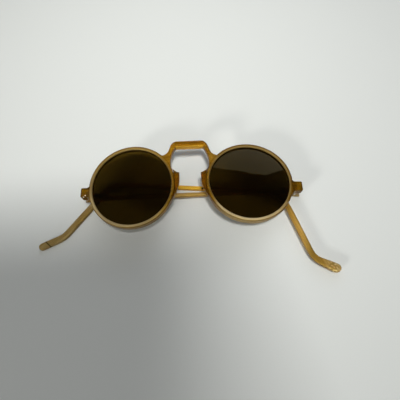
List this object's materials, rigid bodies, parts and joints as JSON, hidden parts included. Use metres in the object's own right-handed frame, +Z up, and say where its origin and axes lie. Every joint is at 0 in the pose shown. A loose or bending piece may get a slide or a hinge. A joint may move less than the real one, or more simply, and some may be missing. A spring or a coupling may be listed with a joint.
{
  "type": "sunglasses",
  "caption": "Round folding sunglasses with a honey celluloid front, keyhole bridge, cemented nose pads, dark glass lenses and slim screw-hinged temples.",
  "frame": {"origin": "middle of the folded glasses' footprint, on the surface they lie on", "axes": "+X across the front from the left lens to the right lens as seen from the front, +Y towards the bridge, +Z up out of the lenses"},
  "size_m": [0.1588, 0.074, 0.0194],
  "materials": {
    "celluloid": "polished translucent honey brown",
    "amber_celluloid": "polished translucent amber",
    "tinted_glass": "polished, very dark green-brown",
    "nickel": "worn nickel silver",
    "screw_steel": "satin"
  },
  "bodies": {
    "front": {"front_frame": "celluloid", "left_lens": "tinted_glass", "left_nose_pad": "amber_celluloid", "left_front_hinge_leaf": "nickel", "left_hinge_screw": "screw_steel", "left_front_hinge_pin_a": "nickel", "left_front_hinge_pin_b": "nickel", "right_lens": "tinted_glass", "right_nose_pad": "amber_celluloid", "right_front_hinge_leaf": "nickel", "right_hinge_screw": "screw_steel", "right_front_hinge_pin_a": "nickel", "right_front_hinge_pin_b": "nickel"},
    "right_temple": {"right_temple": "celluloid", "right_temple_hinge_leaf": "nickel", "right_temple_hinge_pin_a": "nickel", "right_temple_hinge_pin_b": "nickel"},
    "left_temple": {"left_temple": "celluloid", "left_temple_hinge_leaf": "nickel", "left_temple_hinge_pin_a": "nickel", "left_temple_hinge_pin_b": "nickel"}
  },
  "joints": [
    {"name": "right_temple_fold", "type": "hinge", "parent": "front", "child": "right_temple", "pos_m": [0.06164, 0.00955, 0.004], "axis": [-0.1178, -0.993, 0], "range_deg": [0, 87.8]},
    {"name": "left_temple_fold", "type": "hinge", "parent": "front", "child": "left_temple", "pos_m": [-0.05134, 0.01092, 0.0083], "axis": [0.0125, 0.9998, 0.0154], "range_deg": [0, 90]}
  ],
  "couplings": [
    {"joint": "left_temple_fold", "follows": "right_temple_fold", "ratio": 1.0251}
  ]
}
